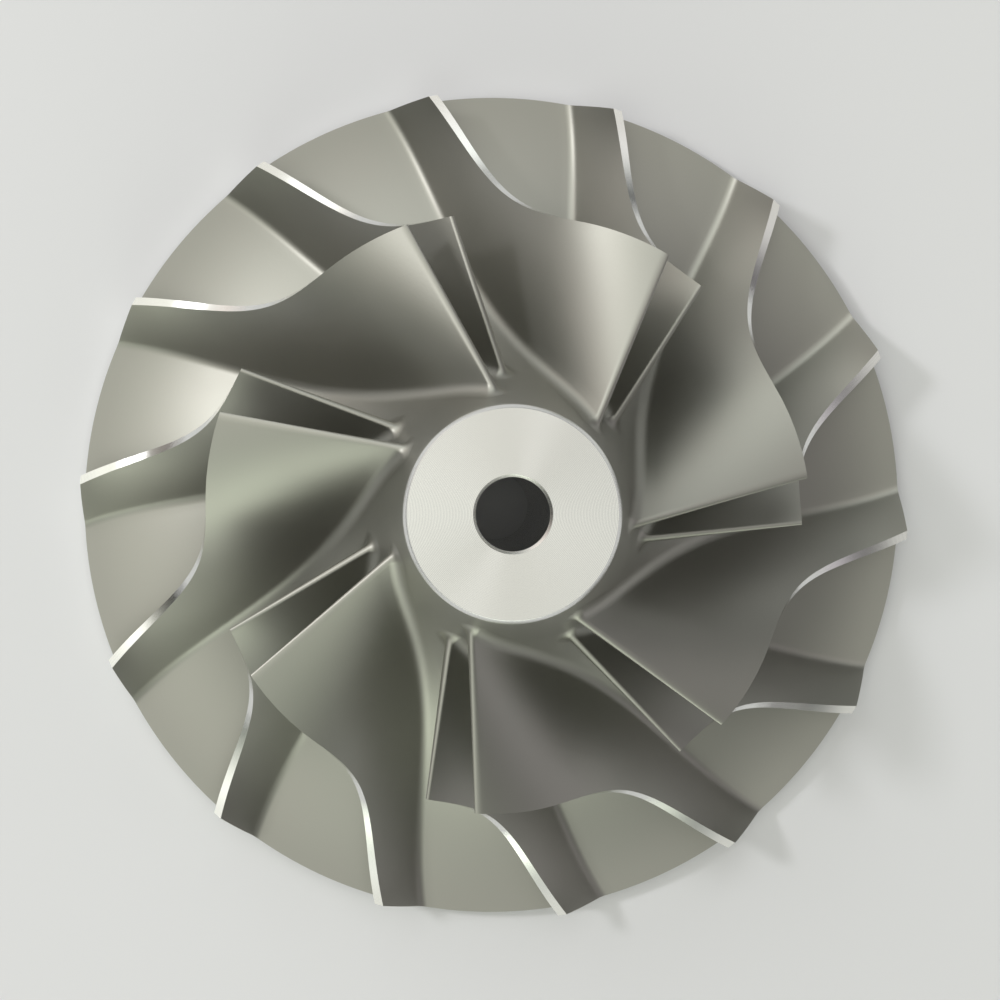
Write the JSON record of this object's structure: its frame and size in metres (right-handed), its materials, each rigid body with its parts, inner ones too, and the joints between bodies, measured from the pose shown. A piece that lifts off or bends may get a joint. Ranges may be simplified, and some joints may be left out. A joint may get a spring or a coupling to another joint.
{
  "type": "compressor wheel",
  "caption": "Radial compressor wheel for an engine turbocharger, one aluminium casting with backswept long and splitter blades and a through bore",
  "frame": {"origin": "centre of the back boss face, where the bore's axis meets the plane the wheel stands on", "axes": "+Z is the axis of the wheel and its bore, from the back boss towards the nose and the air inlet"},
  "size_m": [0.098, 0.098, 0.0342],
  "materials": {
    "cast_aluminium": "satin as cast, bright where turned"
  },
  "bodies": {
    "root": {"compressor_wheel": "cast_aluminium"}
  },
  "joints": []
}
